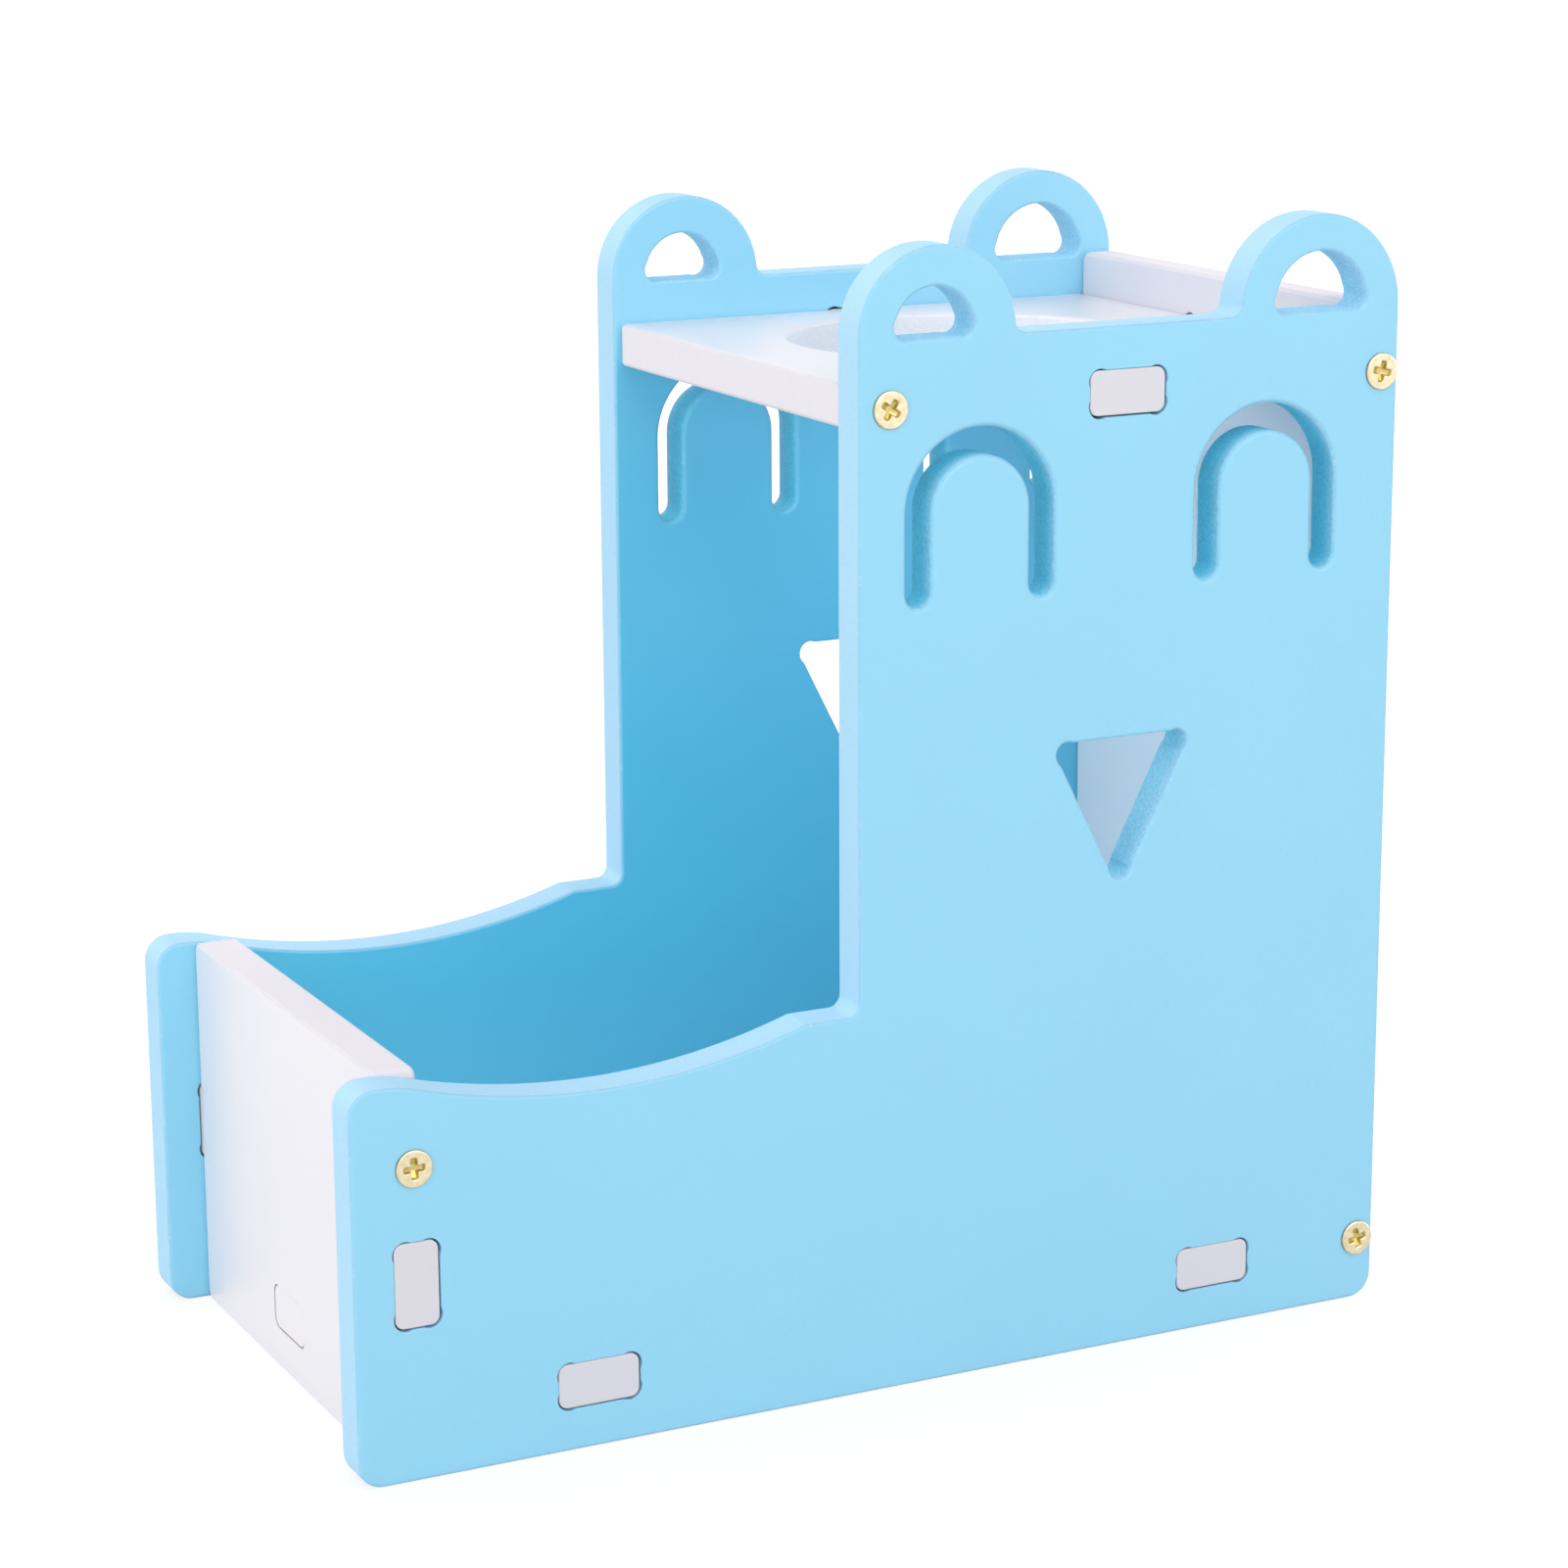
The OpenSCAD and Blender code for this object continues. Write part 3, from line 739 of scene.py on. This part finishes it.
# %% Screws
def screw(name, node, turn, out):
    """Puts a screw on the axis of its CAD node: its own x, y and z run along Y, Z and out in X."""
    points, recess, painted_rim_shade = screw_surface(math.radians(turn))
    count = len(points) - 2
    number = np.arange(count).reshape(-1, COLUMNS)
    after = np.roll(number, -1, 1)
    quads = np.stack([number[:-1], number[1:], after[1:], after[:-1]], -1).reshape(-1, 4)
    top = np.stack([np.full(COLUMNS, count), number[0], after[0]], -1)
    tip = np.stack([number[-1], np.full(COLUMNS, count + 1), after[-1]], -1)
    faces = quads[:, ::out].tolist() + np.concatenate([top, tip])[:, ::out].tolist()
    low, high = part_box(node)
    face = high.x - MM * HEAD_RIM if out > 0 else low.x + MM * HEAD_RIM
    axis = np.array([face, (low.y + high.y) / 2, (low.z + high.z) / 2])
    spots = axis + MM * points[:, [2, 0, 1]] * [out, 1, 1]
    return put_piece(name, node, spots, faces, {"recess": recess, "painted_rim_shade": painted_rim_shade})


gold_screws = [
    screw(f"gold_screw_{side}_{where}", f"screw_{side}_{where}", turn, out)
    for side, out in (("right", 1), ("left", -1))
    for where, (_, _, turn) in SCREWS.items()
]

# %% [markdown]
# ## Step 9: the foam board finish
#
# Foam board has a satin skin on its faces and fine open cells wherever it is cut, so a cut edge
# looks paler, greyer and finely speckled, and chips of the paler foam show along the arris. Both
# colours share this, so it is one node group. It reads the attribute that the boards carry, routed,
# to tell faces, outer edges and holes apart, and Object coordinates for the cells. Between the
# sides and in the narrow slots, light bounces from wall to wall and takes on more of the board's
# colour. This is painted in: there the faces and walls get a painted bounce colour, deeper on the
# blue board and brighter on the white, and low in the trough a little painted shade. The arris
# gets a painted shade too, which tones down the highlight that its round catches. A picture of a
# board could be wrapped on, but it would blur in a close view.


# %% Node helpers
def add(tree, kind, inputs, **settings):
    """Adds a node to a tree and gives its outputs. inputs are socket names or numbers, each with a
    value or with the output that it is linked from."""
    made = tree.nodes.new("ShaderNode" + kind)
    for name, value in settings.items():
        setattr(made, name, value)
    for socket, value in inputs.items():
        if isinstance(value, bpy.types.NodeSocket):
            tree.links.new(value, made.inputs[socket])
        else:
            made.inputs[socket].default_value = value
    return made.outputs


def blend(tree, share, first, second):
    """Colour between first and second, by share."""
    return add(tree, "Mix", {0: share, 6: first, 7: second}, data_type="RGBA")[2]


def ramp(tree, value, low, high, to_low=0.0, to_high=1.0):
    """Maps a value from low..high to to_low..to_high, held at both ends."""
    return add(tree, "MapRange", {0: value, 1: low, 2: high, 3: to_low, 4: to_high})[0]


def calc(tree, operation, a, b=0.0):
    """One sum on two values."""
    return add(tree, "Math", {0: a, 1: b}, operation=operation)[0]


def times(tree, product, *others):
    """The product of all the values."""
    for value in others:
        product = calc(tree, "MULTIPLY", product, value)
    return product


def scaled(tree, vector, factor):
    """A vector or a colour times a factor."""
    return add(tree, "VectorMath", {0: vector, "Scale": factor}, operation="SCALE")[0]


def noise(tree, spot, scale, detail, rough):
    """Smooth noise about 0.5, with scale bumps to a millimetre."""
    inputs = {"Vector": spot, "Scale": scale, "Detail": detail, "Roughness": rough}
    return add(tree, "TexNoise", inputs)["Fac"]


def linear(r, g, b):
    """An sRGB colour of 0 to 255 as the linear colour that the nodes use."""
    c = np.array([r, g, b]) / 255
    return (*np.where(c <= 0.04045, c / 12.92, ((c + 0.055) / 1.055) ** 2.4).tolist(), 1.0)


print("middle grey, 128 of 255, in linear light:", np.round(linear(128, 128, 128)[:3], 3).tolist())

# %% Foam board group: sockets and patterns
foam = bpy.data.node_groups.new("foam board", "ShaderNodeTree")
for way, kind, labels in (
    ("INPUT", "Color", ("Face", "Inside", "Cut", "Painted_hole_bounce", "Painted_arris_shade")),
    ("INPUT", "Float", ("Speckle", "Cloud")),
    ("OUTPUT", "Color", ("Colour",)),
    ("OUTPUT", "Float", ("Roughness", "Coat", "Height")),
):
    for label in labels:
        foam.interface.new_socket(label, in_out=way, socket_type="NodeSocket" + kind)
given = foam.nodes.new("NodeGroupInput").outputs
spot = scaled(foam, add(foam, "TexCoord", {})["Object"], 1 / MM)  # in millimetres
x, y, z = add(foam, "SeparateXYZ", {0: spot})
across = calc(foam, "ABSOLUTE", x)
from_front = calc(foam, "SUBTRACT", y, front_edge_y / MM)
mark = add(foam, "Attribute", {}, attribute_name="routed")["Fac"]
in_hole = ramp(foam, mark, -0.02, 0.0, 1.0, 0.0)
routed = calc(foam, "ABSOLUTE", mark)
arris = times(foam, routed, 4.0, calc(foam, "SUBTRACT", 1.0, routed))
cloud = noise(foam, spot, 0.045, 3.0, 0.55)
skin = noise(foam, spot, 1.6, 3.0, 0.6)
grit = noise(foam, spot, 2.2, 2.0, 0.7)
flakes = noise(foam, spot, 0.9, 4.0, 0.7)
cells = add(foam, "TexVoronoi", {"Vector": spot, "Scale": 2.6})["Distance"]
print("foam board group: patterns made,", len(foam.nodes), "nodes so far")

# %% Foam board group: faces
# Painted bounce light and shade between the sides: a mask, strongest low in the trough, that turns
# the face to its painted bounce colour.
TROUGH_TOP, ABOVE_WINDOW, ARCH_FOOT = 40.0, 90.0, 100.0  # heights where the deep colours change
inner = ramp(foam, across, HALF + 0.2, HALF + 0.5, 1.0, 0.0)  # 1 between the sides
below = ramp(foam, z, SHELF_Z - 3, SHELF_Z + 3, 1.0, 0.0)  # 1 under the shelf
deep = ramp(foam, z, TROUGH_TOP, SHELF_Z, 1.0, 0.6)  # strongest in the trough
behind = ramp(foam, from_front, FRONT_U - 3, FRONT_U + 3, 0.25, 1.0)  # 1 behind the front board
before_back = ramp(foam, from_front, BACK_U + 1, BACK_U + 3, 1.0, 0.0)  # 0 on the rear face
inside = times(foam, inner, behind, before_back, below, deep)
# Painted shade: the faces low between the sides are made a little darker, fading out towards the
# window.
painted_trough_shade = times(foam, inside, ramp(foam, z, TROUGH_TOP, ABOVE_WINDOW, 0.05, 0.0))
shade = times(foam, ramp(foam, cloud, 0.3, 0.7, -1.0, 1.0), given["Cloud"])
shade = calc(foam, "ADD", shade, ramp(foam, skin, 0.3, 0.7, -0.012, 0.012))
shade = calc(foam, "SUBTRACT", calc(foam, "ADD", shade, 1.0), painted_trough_shade)
# Where the mask is set, the face takes the painted bounce colour.
face = scaled(foam, blend(foam, inside, given["Face"], given["Inside"]), shade)
print("foam board group: faces made,", len(foam.nodes), "nodes so far")

# %% Foam board group: cuts and arrises
CHIP = linear(226, 236, 245)
pit = times(foam, ramp(foam, cells, 0.0, 0.3, -1.0, 0.0), given["Speckle"], 0.8)
speck = times(foam, ramp(foam, grit, 0.3, 0.7, -1.0, 1.0), given["Speckle"])
speck = times(foam, calc(foam, "ADD", speck, pit), ramp(foam, in_hole, 0.0, 1.0, 1.0, 4.5))
# Painted bounce light and shade on the walls of holes: the hole colour stands in for light bounced
# inside them, most towards the inner face, less under the ears.
deep_wall = ramp(foam, across, HALF + 3.5, HALF + THICK, 1.0, 0.2)
over_window = ramp(foam, z, ABOVE_WINDOW, ARCH_FOOT, 0.5, 1.0)
under_ears = ramp(foam, z, RAIL - 2, RAIL, 1.0, 0.3)
painted_hole_share = times(foam, in_hole, deep_wall, over_window, under_ears)
cut = blend(foam, painted_hole_share, given["Cut"], given["Painted_hole_bounce"])
cut = scaled(foam, cut, calc(foam, "ADD", speck, 1.0))
# Painted shade along the arris: its colour is darker than face and cut, to tone down the highlight
# that the round catches.
arris_shade_share = times(foam, arris, ramp(foam, in_hole, 0.0, 1.0, 0.7, 0.2))
chipped = times(foam, arris, ramp(foam, flakes, 0.56, 0.7, 0.0, 0.35))
colour = blend(foam, ramp(foam, routed, 0.25, 0.9), face, cut)
colour = blend(foam, arris_shade_share, colour, given["Painted_arris_shade"])
colour = blend(foam, chipped, colour, CHIP)
print("foam board group: cuts made,", len(foam.nodes), "nodes so far")

# %% Foam board group: gloss and relief
rough = ramp(foam, routed, 0.0, 0.4, 0.45, 0.85)
rough = calc(foam, "ADD", rough, ramp(foam, skin, 0.3, 0.7, -0.05, 0.05))
coat = ramp(foam, routed, 0.05, 0.5, 1.0, 0.0)
height = times(foam, ramp(foam, cells, 0.0, 0.45), ramp(foam, routed, 0.3, 0.9))
height = calc(foam, "ADD", height, times(foam, skin, 0.25))
leave = foam.nodes.new("NodeGroupOutput").inputs
for label, value in {"Colour": colour, "Roughness": rough, "Coat": coat, "Height": height}.items():
    foam.links.new(value, leave[label])
print("foam board group:", len(foam.nodes), "nodes")


# %% Blue and white board
def board_finish(name, values):
    """A satin board: the foam group gives colour, roughness, coat and the height for a bump."""
    made = bpy.data.materials.new(name)
    made.use_nodes = True
    tree = made.node_tree
    group = tree.nodes.new("ShaderNodeGroup")
    group.node_tree = foam
    for label, value in values.items():
        group.inputs[label].default_value = value
    put = group.outputs
    satin = tree.nodes["Principled BSDF"].inputs
    satin["Specular IOR Level"].default_value = 1.0
    satin["Coat Roughness"].default_value = 0.35
    tree.links.new(put["Colour"], satin["Base Color"])
    tree.links.new(put["Roughness"], satin["Roughness"])
    tree.links.new(put["Coat"], satin["Coat Weight"])
    bump = add(tree, "Bump", {"Strength": 0.25, "Distance": 0.1 * MM, "Height": put["Height"]})
    tree.links.new(bump[0], satin["Normal"])
    return made


# On the blue board the inside and hole colours are painted bounce light and shade, and the arris
# colour is painted shade.
blue = board_finish("blue_foam_board", {
    "Face": linear(140, 215, 246),
    "Inside": linear(94, 216, 250),
    "Cut": linear(173, 217, 243),
    "Painted_hole_bounce": linear(104, 212, 238),
    "Painted_arris_shade": linear(146, 201, 229),
    "Speckle": 0.03,
    "Cloud": 0.012,
})
# On the white board the inside and hole colours are painted light, brighter than the face, and the
# arris colour is painted shade.
white = board_finish("white_foam_board", {
    "Face": linear(220, 217, 225),
    "Inside": linear(251, 248, 252),
    "Cut": linear(229, 224, 231),
    "Painted_hole_bounce": linear(248, 245, 249),
    "Painted_arris_shade": linear(212, 209, 216),
    "Speckle": 0.012,
    "Cloud": 0.008,
})
for piece in blue_boards:
    piece.data.materials.append(blue)
for piece in white_boards:
    piece.data.materials.append(white)
print("boards finished:", len(blue_boards), "blue,", len(white_boards), "white")

# %% [markdown]
# ## Step 10: the plated screws
#
# The screws are steel with a thin pale gold plating. It is a metal, so its colour is the colour of
# its reflection. Noise in the roughness breaks up the gleam. The recess is painted a deeper colour,
# a painted shade, and the side of the rim is painted dull and dark, a painted shade for the thin
# shadow where the head meets the board. Both are read from attributes of the screw, which stay
# sharper than an image wrapped on would.

# %% Gold plating
PALE_GOLD, STAINED_GOLD = linear(230, 219, 188), linear(214, 199, 162)
# Painted shade on the screws: a darker gold in the recess and a dark, dull gold on the side of the
# rim.
RECESS_SHADE_GOLD, RIM_SHADE_GOLD = linear(206, 189, 124), linear(118, 116, 96)
gold = bpy.data.materials.new("gold_plating")
gold.use_nodes = True
tree = gold.node_tree
spot = scaled(tree, add(tree, "TexCoord", {})["Object"], 1 / MM)
recess = add(tree, "Attribute", {}, attribute_name="recess")["Fac"]
painted_rim_shade = add(tree, "Attribute", {}, attribute_name="painted_rim_shade")["Fac"]
stain = noise(tree, spot, 1.3, 3.0, 0.5)
tone = blend(tree, ramp(tree, stain, 0.35, 0.7), PALE_GOLD, STAINED_GOLD)
# Painted shade: the recess turns to its darker gold.
tone = blend(tree, ramp(tree, recess, 0.0, 0.35), tone, RECESS_SHADE_GOLD)
# Painted shade on the side of the rim.
tone = blend(tree, painted_rim_shade, tone, RIM_SHADE_GOLD)
metal = tree.nodes["Principled BSDF"].inputs
metal["Metallic"].default_value = 1.0
tree.links.new(tone, metal["Base Color"])
tree.links.new(ramp(tree, stain, 0.3, 0.7, 0.34, 0.5), metal["Roughness"])
for piece in gold_screws:
    piece.data.materials.append(gold)
print("plating:", len(tree.nodes), "nodes on", len(gold_screws), "screws")

# %% [markdown]
# ## Step 11: floor, world and lamps
#
# The stand is shown on white, as in a shop picture. The floor and the world look plain white to the
# camera and in reflections, but they light the stand only gently. Close to the stand the floor is
# partly a matt surface, so a soft shadow stays. Seven large softboxes give the rest, from the
# front, both sides, the back and the top, so that no face goes dark from any side. The two in front
# are kept out of reflections, where they would leave a white glare on the shelf. One strong sun
# would be simpler, but its hard shadows would hide the inside.


# %% Floor
def seen(tree):
    """1 for rays from the camera, in reflections and through glass, 0 for light on the stand."""
    path = add(tree, "LightPath", {})
    mirrored = calc(tree, "MAXIMUM", path["Is Glossy Ray"], path["Is Transmission Ray"])
    return calc(tree, "MAXIMUM", path["Is Camera Ray"], mirrored)


FLOOR_SIDE = 24.0  # metres, so that the floor fills the picture to its top
SHADOW_NEAR, SHADOW_FAR = 0.12, 0.45  # metres from the middle, between which the floor turns white
SHADOW_GREY, PAPER_GREY = (0.25, 0.25, 0.25, 1), (0.7, 0.7, 0.7, 1)
grid = np.array([[-1, -1, 0], [1, -1, 0], [1, 1, 0], [-1, 1, 0]]) * FLOOR_SIDE / 2
mesh = bpy.data.meshes.new("floor")
mesh.from_pydata(grid.tolist(), [], [(0, 1, 2, 3)])
floor = bpy.data.objects.new("floor", mesh)
bpy.context.scene.collection.objects.link(floor)
paper = bpy.data.materials.new("white_paper")
paper.use_nodes = True
tree = paper.node_tree
tree.nodes.remove(tree.nodes["Principled BSDF"])
middle = add(tree, "TexCoord", {})["Object"]
away = add(tree, "VectorMath", {0: middle}, operation="LENGTH")["Value"]
glow = add(tree, "Emission", {"Strength": ramp(tree, away, SHADOW_NEAR, SHADOW_FAR, 0.78, 1.0)})[0]
shadow = add(tree, "BsdfDiffuse", {"Color": SHADOW_GREY})[0]
shown = add(tree, "AddShader", {0: glow, 1: shadow})[0]
matt = add(tree, "BsdfDiffuse", {"Color": PAPER_GREY})[0]
surface = add(tree, "MixShader", {0: seen(tree), 1: matt, 2: shown})[0]
tree.links.new(surface, tree.nodes["Material Output"].inputs["Surface"])
mesh.materials.append(paper)
print("floor:", FLOOR_SIDE, "m square")

# %% World
AMBIENT = 0.05  # the world's light on the stand, where 1 is white
scene = bpy.context.scene
scene.view_settings.view_transform = "Standard"
scene.world = bpy.data.worlds.new("white_room")
scene.world.use_nodes = True
tree = scene.world.node_tree
room = tree.nodes["Background"].inputs
room["Color"].default_value = (1, 1, 1, 1)
tree.links.new(ramp(tree, seen(tree), 0, 1, AMBIENT, 1.0), room["Strength"])
print("world: lights the stand at", AMBIENT)

# %% Lamps
LAMP_AIM = Vector((0, 0, 0.07))  # the middle of the stand


def softbox(name, at, wide, high, level, mirrored=True):
    """An oblong lamp at a point, aimed at the middle of the stand. It lights a surface that faces
    it to the given level, where 1 shows a colour as written: watts = level pi^2 distance^2. A lamp
    that isn't mirrored leaves no glare on the satin boards."""
    lamp = bpy.data.lights.new(name, "AREA")
    lamp.shape = "RECTANGLE"
    lamp.size, lamp.size_y = wide, high
    aim = LAMP_AIM - Vector(at)
    lamp.energy = level * math.pi**2 * aim.length_squared
    holder = bpy.data.objects.new(name, lamp)
    holder.location = at
    holder.rotation_mode = "QUATERNION"
    holder.rotation_quaternion = aim.to_track_quat("-Z", "Y")
    holder.visible_glossy = mirrored
    scene.collection.objects.link(holder)
    print(f"{name}: {lamp.energy:.1f} W")


softbox("front", (0.6, -1.3, 0.45), 2.0, 0.8, 0.44, mirrored=False)
softbox("ahead", (0.0, -1.5, 0.35), 1.0, 0.6, 0.23, mirrored=False)
softbox("right", (1.0, 0.0, 1.1), 1.6, 1.6, 0.56)
softbox("back right", (1.1, 1.0, 0.45), 2.0, 0.8, 0.16)
softbox("back", (-0.4, 1.5, 0.45), 1.0, 0.8, 0.54)
softbox("left", (-1.0, -0.3, 1.0), 1.6, 1.6, 0.45)
softbox("top", (0.0, 0.0, 1.5), 2.0, 2.0, 0.42)
